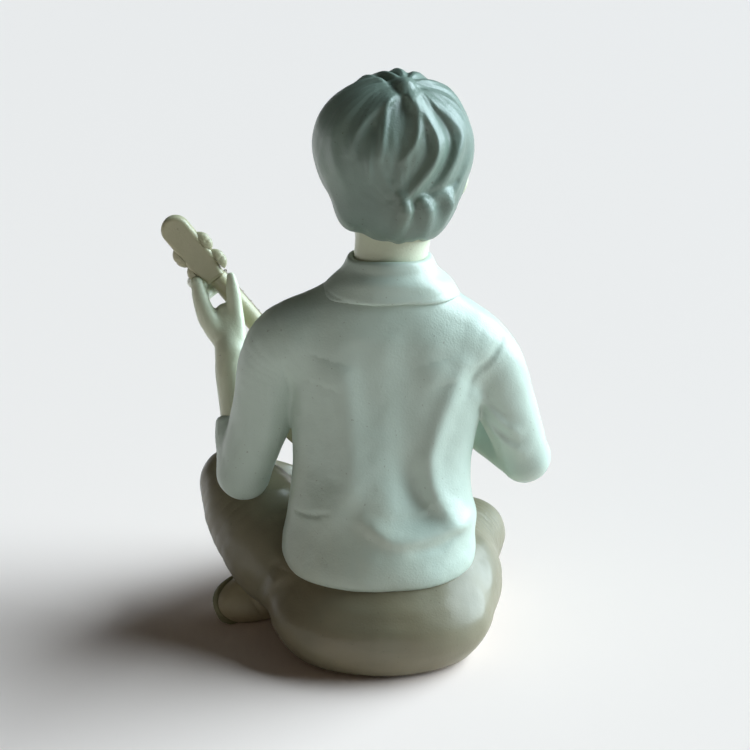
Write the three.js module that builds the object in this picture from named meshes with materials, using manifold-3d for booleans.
// A porcelain figurine of a boy seated cross-legged with a small guitar, as the slip-cast pieces that are
// stuck together with slip before firing. Millimetres, +Z up. The boy faces -Y, so his left is +X.
import * as THREE from "three";
import { mergeVertices } from "three/addons/utils/BufferGeometryUtils.js";
import Module from "manifold-3d";

const wasm = await Module();
wasm.setup();

// ---------------------------------------------------------------- driving dimensions

const WALL = 3; // thickness of a hollow casting
const JOINT = 0.3; // slip between two castings
const VENT = 1.8; // radius of the holes that let the kiln's gases out of the castings
const SPIGOT = 6; // how far one casting reaches into the next

const HEM = 28.5; // height of the shirt's lower edge
const TRUNK = 98.5; // from there up to the neck
const CHEST = 34.5; // half width below the shoulders
const SEAT_HALF_WIDTH = 36.5;
const SEAT_HALF_DEPTH = 26;
const NECK_R = 12.5;
const WRIST_R = 4.5;
const FINGER_R = 1.9;

const GUITAR_BODY = 60; // length of the body
const GUITAR_LOWER = 21; // half width of the lower bout
const GUITAR_WAIST = 13.5;
const GUITAR_UPPER = 16;
const GUITAR_DEPTH = 12; // soundboard and back included
const SOUNDBOARD = 2.2;
const SOUND_HOLE_R = 5.5;
const NECK_WIDTH = 6.6;
const NECK_DEPTH = 4.4;
const FINGERBOARD = 1.4;
const HEADSTOCK_LENGTH = 25;
const HEADSTOCK_WIDTH = 8.6;
const HEADSTOCK_DEPTH = 4.4;
const PEG_R = 3.1;
const PEG_SPACING = 7.75;
const NUT_TO_PEG = 4.3;

const SOLE = 2.4;
const SHOE_LENGTH = 31;
const SHOE_HALF_WIDTH = 7.5;
const SHOE_HEIGHT = 14;

// ---------------------------------------------------------------- pose: [x, y, z] of the body's landmarks

const SEAT_CENTRE = [1, 22];
const LEFT_HIP = [17, 13, 18];
const RIGHT_HIP = [-14, 14, 17.5];
const LEFT_KNEE = [51.5, -27, 40.5];
const RIGHT_KNEE = [-30.5, -36, 17.5];
const LEFT_ANKLE = [4, -60, 9.5];
const RIGHT_ANKLE = [33, -11, 9];
const NAPE = HEM + TRUNK;
const LEFT_SHOULDER = [CHEST - 0.5, 6, NAPE - 21];
const RIGHT_SHOULDER = [2.5 - CHEST, 6, NAPE - 22];
const LEFT_ELBOW = [CHEST + 12.5, -1, NAPE - 73];
const RIGHT_ELBOW = [-CHEST - 13.5, -2, NAPE - 67];
const LEFT_WRIST = [CHEST + 18, -19, NAPE - 35];
const RIGHT_WRIST = [-17, -40, NAPE - 57];
const NECK_BASE = [-1.5, 6.5, NAPE - 9];
const HEAD_CENTRE = [-4, -5, NAPE + 36.5];
const GRIP = [CHEST + 18.9, -31, NAPE - 17.3]; // where the left hand holds the guitar's neck

const HEAD_TURN = 18; // degrees to his left
const HEAD_NOD = 13; // degrees down
const GUITAR_RISE = 52; // degrees of the guitar's neck above level
const GRIP_TO_END = 100; // along the guitar, from the hand down to its end, which stays clear of the legs
const GRIP_TO_NUT = 7;
const GRIP_TO_BODY = GRIP_TO_END - GUITAR_BODY;
const NECK_LENGTH = GRIP_TO_BODY + GRIP_TO_NUT; // from the body's edge to the headstock

// ---------------------------------------------------------------- geometry helpers

const TAU = 2 * Math.PI;
const rad = THREE.MathUtils.degToRad;
const vec = ([x, y, z]) => new THREE.Vector3(x, y, z);
const mix = (a, b, t) => a.map((value, i) => value + (b[i] - value) * t);

// A three.js geometry as a manifold-3d solid.
function solid(geometry) {
  const bare = new THREE.BufferGeometry().setAttribute("position", geometry.getAttribute("position"));
  bare.setIndex(geometry.index);
  const merged = mergeVertices(bare, 1e-4);
  const triangles = [];
  const index = merged.index.array;
  for (let i = 0; i < index.length; i += 3) {
    const [a, b, c] = index.slice(i, i + 3);
    if (a !== b && b !== c && c !== a) triangles.push(a, b, c);
  }
  const vertProperties = new Float32Array(merged.attributes.position.array);
  const triVerts = new Uint32Array(triangles);
  return new wasm.Manifold(new wasm.Mesh({ numProp: 3, vertProperties, triVerts }));
}

const join = (first, ...others) => others.reduce((whole, piece) => whole.add(piece), first);
const cut = (whole, ...tools) => tools.reduce((rest, tool) => rest.subtract(tool), whole);

// The largest of the bodies that a cut leaves: slivers on the far side of a tool are dropped.
function largest(piece) {
  return piece.decompose().reduce((best, body) => (body.volume() > best.volume() ? body : best));
}

// Catmull-Rom through rows of numbers; u runs from 0 to rows.length - 1.
function between(rows, u) {
  const i = Math.min(Math.floor(u), rows.length - 2);
  const t = u - i;
  const row = (k) => rows[Math.max(0, Math.min(rows.length - 1, k))];
  return rows[0].map((_, c) => {
    const [a, b, d, e] = [row(i - 1)[c], row(i)[c], row(i + 1)[c], row(i + 2)[c]];
    return b + 0.5 * t * (d - a + t * (2 * a - 5 * b + 4 * d - e + t * (3 * (b - d) + e - a)));
  });
}

// A closed skin over rings that all have the same number of points.
function skin(rings) {
  const sides = rings[0].length;
  const points = rings.flat();
  const index = [];
  for (let r = 0; r < rings.length - 1; r++) {
    for (let s = 0; s < sides; s++) {
      const a = r * sides + s;
      const b = r * sides + ((s + 1) % sides);
      index.push(a, b, b + sides, a, b + sides, a + sides);
    }
  }
  for (const r of [0, rings.length - 1]) {
    const middle = new THREE.Vector3();
    rings[r].forEach((p) => middle.addScaledVector(p, 1 / sides));
    points.push(middle);
    for (let s = 0; s < sides; s++) {
      const a = r * sides + s;
      const b = r * sides + ((s + 1) % sides);
      index.push(points.length - 1, ...(r ? [a, b] : [b, a]));
    }
  }
  const geometry = new THREE.BufferGeometry().setFromPoints(points);
  geometry.setIndex(index);
  return geometry;
}

// A form from level sections [z, centre x, centre y, half width, half depth], grown sideways and at its ends.
function stack(sections, { grow = 0, sides = 20, steps = 2, down = grow, up = grow } = {}) {
  const rings = [];
  const count = (sections.length - 1) * steps;
  for (let k = 0; k <= count; k++) {
    const [z, cx, cy, rx, ry] = between(sections, k / steps);
    const lift = k === 0 ? -down : k === count ? up : 0;
    const ring = [];
    for (let s = 0; s < sides; s++) {
      const angle = (TAU * s) / sides;
      const x = cx + Math.max(0.2, rx + grow) * Math.cos(angle);
      const y = cy + Math.max(0.2, ry + grow) * Math.sin(angle);
      ring.push(new THREE.Vector3(x, y, z + lift));
    }
    rings.push(ring);
  }
  return skin(rings);
}

// A limb through stations [x, y, z, radius], grown all round, with ends that are round, or
// flat and longer by reach.
const ROUND = { grow: 0, sides: 12, steps: 2, roundStart: true, roundEnd: true, reach: 0 };
function limb(stations, options = {}) {
  const { grow, sides, steps, roundStart, roundEnd, reach } = { ...ROUND, ...options };
  const count = (stations.length - 1) * steps;
  const rows = Array.from({ length: count + 1 }, (_, k) => between(stations, k / steps));
  const centres = rows.map(([x, y, z]) => new THREE.Vector3(x, y, z));
  const tangents = centres.map((_, k) => {
    const next = centres[Math.min(k + 1, count)];
    return next.clone().sub(centres[Math.max(k - 1, 0)]).normalize();
  });
  const across = new THREE.Vector3(0, 0, 1).cross(tangents[0]);
  if (across.length() < 0.1) across.set(1, 0, 0);
  const rings = [];
  const addRing = (centre, tangent, radius) => {
    across.addScaledVector(tangent, -across.dot(tangent)).normalize();
    const other = tangent.clone().cross(across);
    const ring = [];
    for (let s = 0; s < sides; s++) {
      const angle = (TAU * s) / sides;
      const point = centre.clone().addScaledVector(across, radius * Math.cos(angle));
      ring.push(point.addScaledVector(other, radius * Math.sin(angle)));
    }
    rings.push(ring);
  };
  const dome = [75, 40].map(rad);
  const addEnd = (k, sign, round) => {
    const radius = rows[k][3] + grow;
    const angles = sign < 0 ? dome : [...dome].reverse();
    if (round) {
      for (const a of angles) {
        const centre = centres[k].clone().addScaledVector(tangents[k], sign * radius * Math.sin(a));
        addRing(centre, tangents[k], radius * Math.cos(a));
      }
    } else if (reach) {
      addRing(centres[k].clone().addScaledVector(tangents[k], sign * reach), tangents[k], radius);
    }
  };
  addEnd(0, -1, roundStart);
  for (let k = 0; k <= count; k++) addRing(centres[k], tangents[k], rows[k][3] + grow);
  addEnd(count, 1, roundEnd);
  return skin(rings);
}

// An ellipsoid of half sizes [x, y, z].
function ellipsoid([x, y, z], centre, grow = 0) {
  const ball = new THREE.SphereGeometry(1, 12, 8).scale(x + grow, y + grow, z + grow);
  return ball.translate(...centre);
}

// A frame with its x and z axes along two directions, placed at a point.
function frameOf(xAxis, zAxis, origin) {
  const x = xAxis.clone().normalize();
  const y = zAxis.clone().cross(x).normalize();
  return new THREE.Matrix4().makeBasis(x, y, x.clone().cross(y)).setPosition(origin);
}

// A straight round hole between two points.
function hole(from, to, radius) {
  const straight = { sides: 12, steps: 1, roundStart: false, roundEnd: false };
  return solid(limb([[...from, radius], [...to, radius]], straight));
}

// ---------------------------------------------------------------- shirt

const TORSO = [
  [0, 2, 14, CHEST - 2.5, 24],
  [0.08, 2, 13, CHEST - 2, 23.5],
  [0.2, 1.5, 11.5, CHEST - 3.5, 21.5],
  [0.36, 1, 9, CHEST - 4.5, 20],
  [0.54, 0, 7, CHEST - 3, 20],
  [0.7, 0, 6, CHEST, 20],
  [0.81, 0, 6, CHEST, 19],
  [0.87, 1, 6, CHEST - 2, 17.5],
  [0.92, 1, 6, CHEST - 6.5, 16],
  [0.96, 0, 6, CHEST - 12, 14.5],
  [1, -1, 5.5, CHEST - 17.5, 13.5],
].map(([share, ...section]) => [HEM + share * TRUNK, ...section]);
const torsoForm = (grow) => solid(stack(TORSO, { grow, sides: 24 }));
const torsoCavity = () => solid(stack(TORSO, { grow: -WALL, down: WALL, sides: 14, steps: 1 }));

// Each sleeve is an upper limb into the elbow and a lower one from it to the cuff.
const LEFT_SLEEVE = [
  [
    [CHEST - 17.5, 6.5, NAPE - 21, 8],
    [CHEST - 5, 6.5, NAPE - 21, 12.5],
    [...mix(LEFT_SHOULDER, LEFT_ELBOW, 0.16), 12],
    [...mix(LEFT_SHOULDER, LEFT_ELBOW, 0.5), 10.5],
    [...mix(LEFT_SHOULDER, LEFT_ELBOW, 0.95), 10.2],
  ],
  [
    [...mix(LEFT_ELBOW, LEFT_WRIST, 0.06), 9.8],
    [...mix(LEFT_ELBOW, LEFT_WRIST, 0.28), 8.8],
    [...mix(LEFT_ELBOW, LEFT_WRIST, 0.5), 7],
  ],
];
const RIGHT_SLEEVE = [
  [
    [18.5 - CHEST, 6.5, NAPE - 22, 8],
    [7 - CHEST, 6.5, NAPE - 22.5, 12],
    [...mix(RIGHT_SHOULDER, RIGHT_ELBOW, 0.16), 11.2],
    [...mix(RIGHT_SHOULDER, RIGHT_ELBOW, 0.5), 10],
    [...mix(RIGHT_SHOULDER, RIGHT_ELBOW, 0.96), 9.2],
  ],
  [
    [...mix(RIGHT_ELBOW, RIGHT_WRIST, 0.04), 9],
    [...mix(RIGHT_ELBOW, RIGHT_WRIST, 0.35), 8.2],
    [...mix(RIGHT_ELBOW, RIGHT_WRIST, 0.74), 6.8],
  ],
];

// A sleeve: hollow, butted against the torso, with the forearm let into its cuff.
function sleeve([upper, lower], forearm, ...neighbours) {
  const outside = join(solid(limb(upper)), solid(limb(lower, { roundEnd: false })));
  const hollow = { grow: -WALL, sides: 9, steps: 1 };
  const inside = join(solid(limb(upper, hollow)), solid(limb(lower.slice(0, -1), hollow)));
  return largest(cut(outside, inside, forearm, torsoForm(JOINT), ...neighbours));
}

// ---------------------------------------------------------------- head

const face = new THREE.Matrix4().makeTranslation(...HEAD_CENTRE);
face.multiply(new THREE.Matrix4().makeRotationZ(rad(HEAD_TURN)));
face.multiply(new THREE.Matrix4().makeRotationX(rad(HEAD_NOD)));

const SKULL = [
  [-29, 0, -17.5, 3.5, 3],
  [-27, 0, -16.5, 9, 7],
  [-21, 0, -12.5, 16, 12.5],
  [-13, 0, -6.5, 20.5, 18],
  [-4, 0, -2, 22.6, 22.8],
  [6, 0, 0, 23.3, 25],
  [14, 0, 1, 21.8, 24],
  [20, 0, 1.5, 17, 19.5],
  [24, 0, 1.5, 9.5, 11.5],
  [25.3, 0, 1.5, 2.5, 3],
];
const HAIR = [
  [-24, 0, 12, 9, 5],
  [-21, 0, 12, 15, 9.5],
  [-13, 0, 8.5, 22, 17.5],
  [-4, 0, 4, 25.7, 24.5],
  [6, 0, 1.5, 26.8, 28],
  [15, 0, 0.5, 25.8, 28],
  [22, 0, 1, 20.7, 23],
  [27, 0, 1.5, 12.5, 14],
  [29.3, 0, 1.5, 3, 3],
];
const skullForm = (grow) => solid(stack(SKULL, { grow, steps: 1 }).applyMatrix4(face));
const NECK = [
  [...NECK_BASE, NECK_R],
  [NECK_BASE[0], NECK_BASE[1] - 2, NECK_BASE[2] + 12, NECK_R],
  [HEAD_CENTRE[0] + 0.5, HEAD_CENTRE[1] + 4.5, HEAD_CENTRE[2] - 16, NECK_R],
];
const neckForm = (grow, reach = grow) =>
  solid(limb(NECK, { grow, sides: 16, steps: 1, roundStart: false, roundEnd: false, reach }));
const EAR = [2.6, 4.6, 6.6];
const earForm = (side, grow) => solid(ellipsoid(EAR, [side * 23.2, 1, -6], grow).applyMatrix4(face));
const FACE_OPENING = [[19.5, 19, 21], [0, -33, -9]]; // half sizes and centre of what is cut from the hair

function head() {
  const nose = solid(ellipsoid([2.6, 4, 3], [0, -24.6, -9]).applyMatrix4(face));
  const form = join(skullForm(0), neckForm(0), earForm(1, 0), earForm(-1, 0), nose);
  return largest(cut(form, skullForm(-WALL), neckForm(-WALL, WALL)));
}

function hair() {
  const cap = stack(HAIR, { sides: 28, steps: 1 }).applyMatrix4(face);
  const opening = solid(ellipsoid(...FACE_OPENING).applyMatrix4(face));
  const ears = [-1, 1].map((side) => earForm(side, 2 * JOINT));
  return largest(cut(solid(cap), skullForm(2 * JOINT), neckForm(JOINT), opening, ...ears));
}

// The folded collar: a flared band round the neck, open in a V at the throat.
function collar() {
  const [x, y, z] = NECK_BASE;
  const band = solid(stack([
    [z + 6.5, x, y - 1, 23.5, 17.5],
    [z + 9, x, y - 1, 22, 17],
    [z + 13, x, y - 1.5, 17.2, 15.6],
    [z + 16, x, y - 2.5, 14.7, 14.5],
  ], { steps: 1 }));
  const throat = solid(stack([
    [z - 2, x, y - 22, 11, 14],
    [z + 20, x, y - 19, 4, 8],
  ], { sides: 12, steps: 1 }));
  return largest(cut(band, torsoForm(JOINT), neckForm(JOINT), skullForm(JOINT), throat));
}

// ---------------------------------------------------------------- arms and hands

const risen = rad(GUITAR_RISE);
const strings = new THREE.Vector3(Math.cos(risen), 0, Math.sin(risen)); // from the bridge to the headstock
const front = new THREE.Vector3(0, -1, 0); // the way that the soundboard faces
const below = new THREE.Vector3(Math.sin(risen), 0, -Math.cos(risen)); // across the neck, to its lower side
const guitarPoint = (along, down, out) =>
  vec(GRIP).addScaledVector(strings, along).addScaledVector(below, down).addScaledVector(front, out);

const capsule = (points, radius) =>
  solid(limb(points.map((p) => [p.x, p.y, p.z, radius]), { sides: 7, steps: 1 }));

// The flat of a hand, an ellipsoid between the wrist and the ends of the knuckle line.
function palm(wrist, knuckles) {
  const middle = knuckles[0].clone().lerp(knuckles[1], 0.5);
  const reach = middle.clone().sub(wrist);
  const across = knuckles[0].clone().sub(knuckles[1]);
  const frame = frameOf(reach, across.clone().cross(reach).normalize(), wrist.clone().lerp(middle, 0.56));
  return solid(ellipsoid([reach.length() * 0.62, across.length() * 0.55, 3], [0, 0, 0]).applyMatrix4(frame));
}

// The left forearm, its hand closed round the guitar's neck: thumb behind it, four fingers round the front.
const leftForearm = (grow) => solid(limb([
  [...mix(LEFT_ELBOW, LEFT_WRIST, 0.34), 4.6],
  [...mix(LEFT_ELBOW, LEFT_WRIST, 0.7), 4.8],
  [...LEFT_WRIST, WRIST_R],
], { grow, roundStart: false, reach: grow }));

function leftHand() {
  const side = NECK_WIDTH / 2;
  const knuckles = [guitarPoint(6.5, side + 5, -1), guitarPoint(-7, side + 5, -1)];
  const fingers = [5.6, 1.4, -2.8, -7].map((along, i) => capsule([
    guitarPoint(along, side + 5.4, -1),
    guitarPoint(along, side + 5.2, 4),
    guitarPoint(along - 0.5, side + 1.5, 7),
    guitarPoint(along - 1, side - 2.5 + 0.4 * i, 5.8),
  ], FINGER_R));
  const thumb = capsule([
    new THREE.Vector3(LEFT_WRIST[0] - 1.5, LEFT_WRIST[1] - 1, LEFT_WRIST[2] + 3),
    guitarPoint(-8, 1, -6.4),
    guitarPoint(-2.5, -1.5, -6),
    guitarPoint(2, -side - 0.2, -5),
  ], FINGER_R + 0.4);
  const hand = join(palm(vec(LEFT_WRIST), knuckles), capsule(knuckles, 2.8), thumb, ...fingers);
  const instrument = [neckBar(JOINT), fingerboardForm(JOINT), pegKnob(LOWER_PEGS, -1, JOINT)];
  return largest(cut(join(leftForearm(0), hand), ...instrument));
}

// The right forearm with its hand over the strings.
const rightForearm = (grow) => solid(limb([
  [...mix(RIGHT_ELBOW, RIGHT_WRIST, 0.42), 4.6],
  [...mix(RIGHT_ELBOW, RIGHT_WRIST, 0.8), 4.8],
  [...RIGHT_WRIST, WRIST_R],
], { grow, roundStart: false, reach: grow }));

function rightHand() {
  const knuckles = [guitarPoint(-64, -14, 12), guitarPoint(-74, -11, 12)];
  const fingers = [0, 1, 2, 3].map((i) => capsule([
    guitarPoint(-64 - 3.6 * i, -14 + 1.2 * i, 12),
    guitarPoint(-61 - 4 * i, -8 + i, 13.5),
    guitarPoint(-62 - 4 * i, -3 + 0.8 * i, 10.5),
    guitarPoint(-63.5 - 4 * i, 0.5 + 0.5 * i, 7.2),
  ], FINGER_R));
  const thumb = capsule([
    guitarPoint(-64, -16, 9.5),
    guitarPoint(-58.5, -11, 9),
    guitarPoint(-55.5, -5, 7.4),
  ], FINGER_R + 0.3);
  const instrument = [guitarBack(JOINT), soundboard(JOINT), fingerboardForm(JOINT)];
  const hand = join(palm(vec(RIGHT_WRIST), knuckles), capsule(knuckles, 2.8), thumb, ...fingers);
  return largest(cut(join(rightForearm(0), hand), ...instrument));
}

// ---------------------------------------------------------------- guitar, in its own frame
// x runs along the strings with 0 at the body's upper edge, z stands out of the soundboard with 0 on it.

const guitarFrame = frameOf(strings, front, guitarPoint(-GRIP_TO_BODY, 0, NECK_DEPTH / 2));
const inGuitar = (geometry) => solid(geometry.applyMatrix4(guitarFrame));

function bodyOutline(grow) {
  const half = [
    [0, GUITAR_UPPER * 0.42],
    [-GUITAR_BODY * 0.07, GUITAR_UPPER * 0.86],
    [-GUITAR_BODY * 0.2, GUITAR_UPPER],
    [-GUITAR_BODY * 0.4, GUITAR_WAIST],
    [-GUITAR_BODY * 0.56, (GUITAR_WAIST + GUITAR_LOWER) / 2],
    [-GUITAR_BODY * 0.72, GUITAR_LOWER],
    [-GUITAR_BODY * 0.89, GUITAR_LOWER * 0.82],
    [-GUITAR_BODY * 0.985, GUITAR_LOWER * 0.4],
  ];
  const around = [...half, ...half.map(([x, y]) => [x, -y]).reverse()];
  const middle = new THREE.Vector2(-GUITAR_BODY / 2, 0);
  const spline = new THREE.CatmullRomCurve3(around.map(([x, y]) => new THREE.Vector3(x, y, 0)), true);
  return new THREE.Shape(spline.getSpacedPoints(44).slice(0, -1).map((p) => {
    const outward = new THREE.Vector2(p.x, p.y).sub(middle).normalize();
    return new THREE.Vector2(p.x, p.y).addScaledVector(outward, grow);
  }));
}

function plate(shape, bottom, top) {
  const flat = new THREE.ExtrudeGeometry(shape, { depth: top - bottom, bevelEnabled: false });
  return flat.translate(0, 0, bottom);
}

const guitarBack = (grow) =>
  inGuitar(plate(bodyOutline(grow), -GUITAR_DEPTH - grow, -SOUNDBOARD - JOINT + grow));
const soundboard = (grow) => inGuitar(plate(bodyOutline(0.8 + grow), -SOUNDBOARD - grow, grow));

// The soundboard with its sound hole, a shallow well down to the solid body.
function pierced() {
  const disc = new THREE.CylinderGeometry(SOUND_HOLE_R, SOUND_HOLE_R, 3 * SOUNDBOARD, 24);
  disc.rotateX(Math.PI / 2).translate(-GUITAR_BODY * 0.36, 0, -SOUNDBOARD / 2);
  return cut(soundboard(0), inGuitar(disc));
}

// A bar of half-round section along the strings, its flat side facing out of the soundboard.
function bar(length, width, depth, grow) {
  const half = width / 2 + grow;
  const outline = new THREE.Shape();
  outline.moveTo(half, grow);
  outline.lineTo(half, -depth * 0.35);
  outline.bezierCurveTo(half, -depth - grow, -half, -depth - grow, -half, -depth * 0.35);
  outline.lineTo(-half, grow);
  const long = new THREE.ExtrudeGeometry(outline, { depth: length, bevelEnabled: false, curveSegments: 8 });
  return long.applyMatrix4(new THREE.Matrix4().makeBasis(
    new THREE.Vector3(0, 1, 0), new THREE.Vector3(0, 0, 1), new THREE.Vector3(1, 0, 0)));
}

const neckBar = (grow) => inGuitar(bar(NECK_LENGTH + 4, NECK_WIDTH, NECK_DEPTH, grow).translate(-4, 0, 0));

// The fingerboard lies on the neck and runs on over the soundboard to the sound hole.
function fingerboardForm(grow) {
  const start = -GUITAR_BODY * 0.36 + SOUND_HOLE_R + 1.5;
  const length = NECK_LENGTH - start + 2 * grow;
  const strip = new THREE.BoxGeometry(length, NECK_WIDTH + 2 * grow, FINGERBOARD + 2 * grow);
  return inGuitar(strip.translate(start - grow + length / 2, 0, JOINT + FINGERBOARD / 2));
}

function headstock() {
  const half = HEADSTOCK_WIDTH / 2;
  const outline = new THREE.Shape();
  outline.moveTo(0, -NECK_WIDTH / 2);
  outline.lineTo(HEADSTOCK_LENGTH * 0.2, -half * 0.9);
  outline.lineTo(HEADSTOCK_LENGTH - half, -half);
  outline.absarc(HEADSTOCK_LENGTH - half, 0, half, -Math.PI / 2, Math.PI / 2);
  outline.lineTo(HEADSTOCK_LENGTH * 0.2, half * 0.9);
  outline.lineTo(0, NECK_WIDTH / 2);
  const slab = plate(outline, -HEADSTOCK_DEPTH, 0);
  return inGuitar(slab.translate(NECK_LENGTH + JOINT, 0, 0));
}

// Four tuning pegs, two on each edge of the headstock.
const pegKnob = (fromNut, side, grow) => inGuitar(ellipsoid(
  [PEG_R * 1.15, PEG_R, HEADSTOCK_DEPTH / 2],
  [NECK_LENGTH + fromNut, side * (HEADSTOCK_WIDTH / 2 + 0.6), -HEADSTOCK_DEPTH / 2],
  grow,
));
const peg = (fromNut, side) => largest(cut(pegKnob(fromNut, side, 0), headstockForm(JOINT)));
const LOWER_PEGS = NUT_TO_PEG;
const UPPER_PEGS = NUT_TO_PEG + Math.max(PEG_SPACING, 2.3 * PEG_R + JOINT);
const headstockForm = (grow) => {
  const width = HEADSTOCK_WIDTH * 0.95 + 2 * grow;
  const block = new THREE.BoxGeometry(HEADSTOCK_LENGTH, width, 3 * HEADSTOCK_DEPTH);
  return inGuitar(block.translate(NECK_LENGTH + HEADSTOCK_LENGTH / 2, 0, 0));
};

function bridge() {
  const block = new THREE.BoxGeometry(3.2, 15, 1.8);
  return inGuitar(block.translate(-GUITAR_BODY * 0.74, 0, 0.9 + JOINT));
}

// ---------------------------------------------------------------- trousers

const SEAT = [
  [0, ...SEAT_CENTRE, SEAT_HALF_WIDTH - 9.5, SEAT_HALF_DEPTH - 7.5],
  [2.5, ...SEAT_CENTRE, SEAT_HALF_WIDTH - 5, SEAT_HALF_DEPTH - 3.5],
  [10, ...SEAT_CENTRE, SEAT_HALF_WIDTH, SEAT_HALF_DEPTH],
  [17, ...SEAT_CENTRE, SEAT_HALF_WIDTH - 0.2, SEAT_HALF_DEPTH - 0.5],
  [23, SEAT_CENTRE[0], SEAT_CENTRE[1] - 3, SEAT_HALF_WIDTH - 2.5, SEAT_HALF_DEPTH - 1.7],
  [HEM - JOINT, 2, 14, CHEST - 3.5, 22.8],
];
// The spigot that the shirt's casting sits over.
const waist = (grow, up) => solid(stack([
  [HEM - 8, 2, 14, CHEST - 2.5 - WALL - 4, 24 - WALL - 4],
  [HEM + SPIGOT, 2, 14, CHEST - 2.5 - WALL - 4, 24 - WALL - 4.5],
], { grow, up, sides: 20, steps: 1 }));
const seatForm = (grow) => solid(stack(SEAT, { grow, sides: 24, steps: 1 }));
const VENT_PLACE = [SEAT_CENTRE[0] - 6, SEAT_CENTRE[1] - 4];

function seat() {
  const vent = hole([...VENT_PLACE, -2], [...VENT_PLACE, 2 * WALL], VENT);
  const inside = solid(stack(SEAT, { grow: -WALL, sides: 14, steps: 1 }));
  return cut(join(seatForm(0), waist(0, 0)), inside, waist(-WALL, WALL), vent);
}

const LEFT_THIGH = [
  [...LEFT_HIP, 16],
  [34.5, -2.5, 24.5, 18.5],
  [44, -15.5, 33, 16.8],
  [...LEFT_KNEE, 12.8],
];
const RIGHT_THIGH = [
  [...RIGHT_HIP, 15.5],
  [...mix(RIGHT_HIP, RIGHT_KNEE, 0.35), 17.5],
  [...mix(RIGHT_HIP, RIGHT_KNEE, 0.72), 15],
  [...RIGHT_KNEE, 12.8],
];
const LEFT_SHIN = [
  [...LEFT_KNEE, 11.5],
  [...mix(LEFT_KNEE, LEFT_ANKLE, 0.35), 11.5],
  [...mix(LEFT_KNEE, LEFT_ANKLE, 0.75), 10],
  [...mix(LEFT_KNEE, LEFT_ANKLE, 0.95), 9],
];
const RIGHT_SHIN = [
  [...RIGHT_KNEE, 11.5],
  [...mix(RIGHT_KNEE, RIGHT_ANKLE, 0.35), 11],
  [...mix(RIGHT_KNEE, RIGHT_ANKLE, 0.75), 9.5],
  [...mix(RIGHT_KNEE, RIGHT_ANKLE, 0.92), 8.5],
];
const thighForm = (stations, grow) => solid(limb(stations, { grow, sides: 16 }));
const shinForm = (stations, grow) => solid(limb(stations, { grow, reach: grow, roundEnd: false, sides: 14 }));
const aboveTable = (piece) => piece.trimByPlane([0, 0, 1], 0);

// A leg piece: hollow, butted against the pieces that it meets.
function leg(form, stations, ...neighbours) {
  const inside = solid(limb(stations, { grow: -WALL, sides: 8, steps: 1, roundEnd: false }));
  return aboveTable(largest(cut(form(stations, 0), inside, ...neighbours)));
}

// ---------------------------------------------------------------- shoes
// In the shoe's own frame x runs from heel to toe, z is up out of the sole, and 0 is the sole's underside.

const SHOE = [
  [0, 0, 0, SHOE_LENGTH * 0.5, SHOE_HALF_WIDTH],
  [SHOE_HEIGHT * 0.3, 0, 0, SHOE_LENGTH * 0.5, SHOE_HALF_WIDTH],
  [SHOE_HEIGHT * 0.65, -1.5, 0, SHOE_LENGTH * 0.42, SHOE_HALF_WIDTH * 0.88],
  [SHOE_HEIGHT, -SHOE_LENGTH * 0.2, 0, SHOE_LENGTH * 0.22, SHOE_HALF_WIDTH * 0.66],
];

function shoeFrame(ankle, toe, soleFaces) {
  const along = vec(toe).sub(vec(ankle)).normalize();
  const up = vec(soleFaces).negate();
  const place = vec(ankle).addScaledVector(along, SHOE_LENGTH * 0.3);
  const frame = frameOf(along, up.addScaledVector(along, -up.dot(along)).normalize(), place);
  return frame.multiply(new THREE.Matrix4().makeTranslation(0, 0, -SHOE_HEIGHT * 0.55));
}
const LEFT_SHOE_FRAME = shoeFrame(LEFT_ANKLE, [-26, -66, 7], [0.1, -0.35, -1]);
const RIGHT_SHOE_FRAME = shoeFrame(RIGHT_ANKLE, [57, 6, 8.5], [0.6, -0.6, -0.7]);

const upperForm = (frame, grow) => solid(stack(SHOE, { grow, steps: 1 }).applyMatrix4(frame));
const slabBelow = (frame, height) => {
  const block = new THREE.BoxGeometry(3 * SHOE_LENGTH, 3 * SHOE_LENGTH, 40);
  return solid(block.translate(0, 0, height - 20).applyMatrix4(frame));
};

function shoeUpper(frame, ...neighbours) {
  return aboveTable(largest(cut(upperForm(frame, 0), slabBelow(frame, SOLE + JOINT), ...neighbours)));
}
function shoeSole(frame, ...neighbours) {
  const wide = solid(stack(SHOE, { grow: 0.6, down: 0, steps: 1 }).applyMatrix4(frame));
  return aboveTable(largest(cut(wide.intersect(slabBelow(frame, SOLE)), ...neighbours)));
}

// ---------------------------------------------------------------- assembly

const glaze = (color, roughness) => new THREE.MeshStandardMaterial({ color, roughness, metalness: 0 });
const SHIRT = glaze(0xd3ded9, 0.45);
const SKIN = glaze(0xe3dcc6, 0.45);
const HAIR_GREY = glaze(0x7d928c, 0.5);
const TROUSERS = glaze(0x867f6c, 0.35);
const WOOD = glaze(0xd8cfb4, 0.45);
const DARK_WOOD = glaze(0x9a8f74, 0.45);
const SHOE_TAN = glaze(0xb3a67d, 0.45);
const SOLE_BROWN = glaze(0x6f6549, 0.5);

const figure = new THREE.Group();
function add(name, piece, material) {
  const made = piece.getMesh();
  const geometry = new THREE.BufferGeometry();
  const stride = made.numProp;
  const position = new Float32Array(made.numVert * 3);
  for (let i = 0; i < made.numVert; i++) {
    position.set(made.vertProperties.subarray(i * stride, i * stride + 3), i * 3);
  }
  geometry.setAttribute("position", new THREE.BufferAttribute(position, 3));
  geometry.setIndex(new THREE.BufferAttribute(made.triVerts, 1));
  geometry.computeVertexNormals();
  const mesh = new THREE.Mesh(geometry, material);
  mesh.name = name;
  figure.add(mesh);
}

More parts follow.
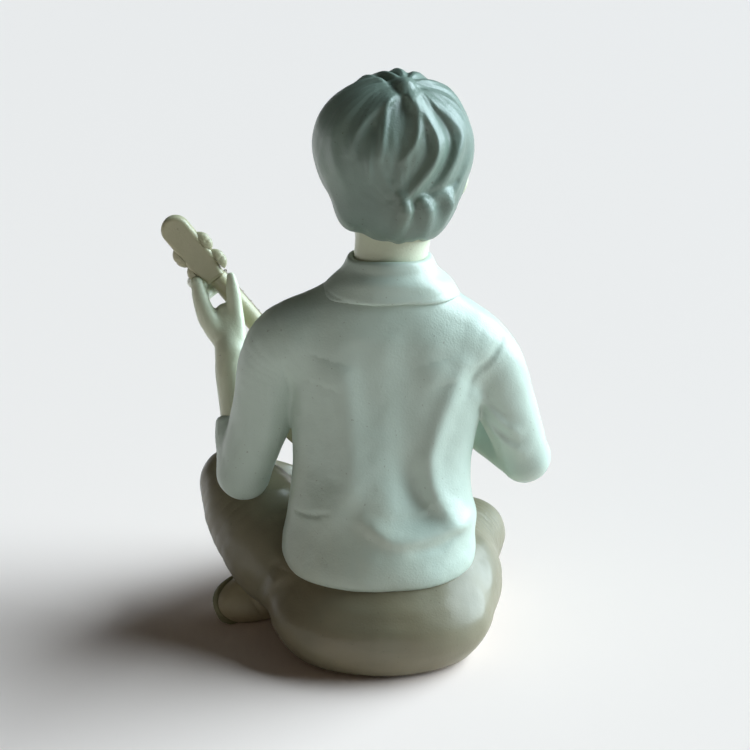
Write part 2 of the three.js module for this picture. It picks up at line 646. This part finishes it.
const leftThigh = thighForm(LEFT_THIGH, JOINT);
const rightThigh = thighForm(RIGHT_THIGH, JOINT);
const leftShin = shinForm(LEFT_SHIN, JOINT);
const rightShin = shinForm(RIGHT_SHIN, JOINT);
const seatAround = seatForm(JOINT);
const torsoAround = torsoForm(JOINT);

add("trouser_seat", seat(), TROUSERS);
add("left_thigh", leg(thighForm, LEFT_THIGH, seatAround, torsoAround), TROUSERS);
add("right_thigh", leg(thighForm, RIGHT_THIGH, seatAround, torsoAround, leftThigh), TROUSERS);
add("left_shin", leg(shinForm, LEFT_SHIN, leftThigh, rightThigh), TROUSERS);
add("right_shin", leg(shinForm, RIGHT_SHIN, rightThigh, leftThigh, leftShin, seatAround), TROUSERS);
const legs = [leftThigh, rightThigh, leftShin, rightShin, seatAround];
for (const [side, frame] of [["left", LEFT_SHOE_FRAME], ["right", RIGHT_SHOE_FRAME]]) {
  add(side + "_shoe_upper", shoeUpper(frame, ...legs), SHOE_TAN);
  add(side + "_shoe_sole", shoeSole(frame, ...legs), SOLE_BROWN);
}

const shoulderVents = [LEFT_SLEEVE, RIGHT_SLEEVE].map(([upper]) => {
  const [x, y, z] = upper[1];
  return hole([x * 0.6, y, z - 4], [x * 1.3, y, z - 4], VENT);
});
add("shirt_torso", cut(torsoForm(0), torsoCavity(), neckForm(JOINT), ...shoulderVents), SHIRT);
add("shirt_collar", collar(), SHIRT);
add("left_forearm_and_hand", leftHand(), SKIN);
add("right_forearm_and_hand", rightHand(), SKIN);
add("left_sleeve", sleeve(LEFT_SLEEVE, leftForearm(JOINT), leftThigh), SHIRT);
add("right_sleeve", sleeve(RIGHT_SLEEVE, rightForearm(JOINT), rightThigh), SHIRT);
add("head_and_neck", head(), SKIN);
add("hair", hair(), HAIR_GREY);

add("guitar_back_and_sides", guitarBack(0), WOOD);
add("guitar_soundboard", pierced(), WOOD);
add("guitar_neck", cut(neckBar(0), guitarBack(JOINT), soundboard(JOINT)), WOOD);
add("guitar_fingerboard", fingerboardForm(0), DARK_WOOD);
add("guitar_headstock", headstock(), WOOD);
add("guitar_bridge", bridge(), DARK_WOOD);
for (const [fromNut, row] of [[LOWER_PEGS, "lower"], [UPPER_PEGS, "upper"]]) {
  add("tuning_peg_" + row + "_left", peg(fromNut, -1), WOOD);
  add("tuning_peg_" + row + "_right", peg(fromNut, 1), WOOD);
}

// The origin is under the middle of the whole figure, on the table.
const box = new THREE.Box3().setFromObject(figure);
figure.position.set(-(box.min.x + box.max.x) / 2, -(box.min.y + box.max.y) / 2, -box.min.z);

const figurine = new THREE.Group();
figurine.add(figure);

export default figurine;
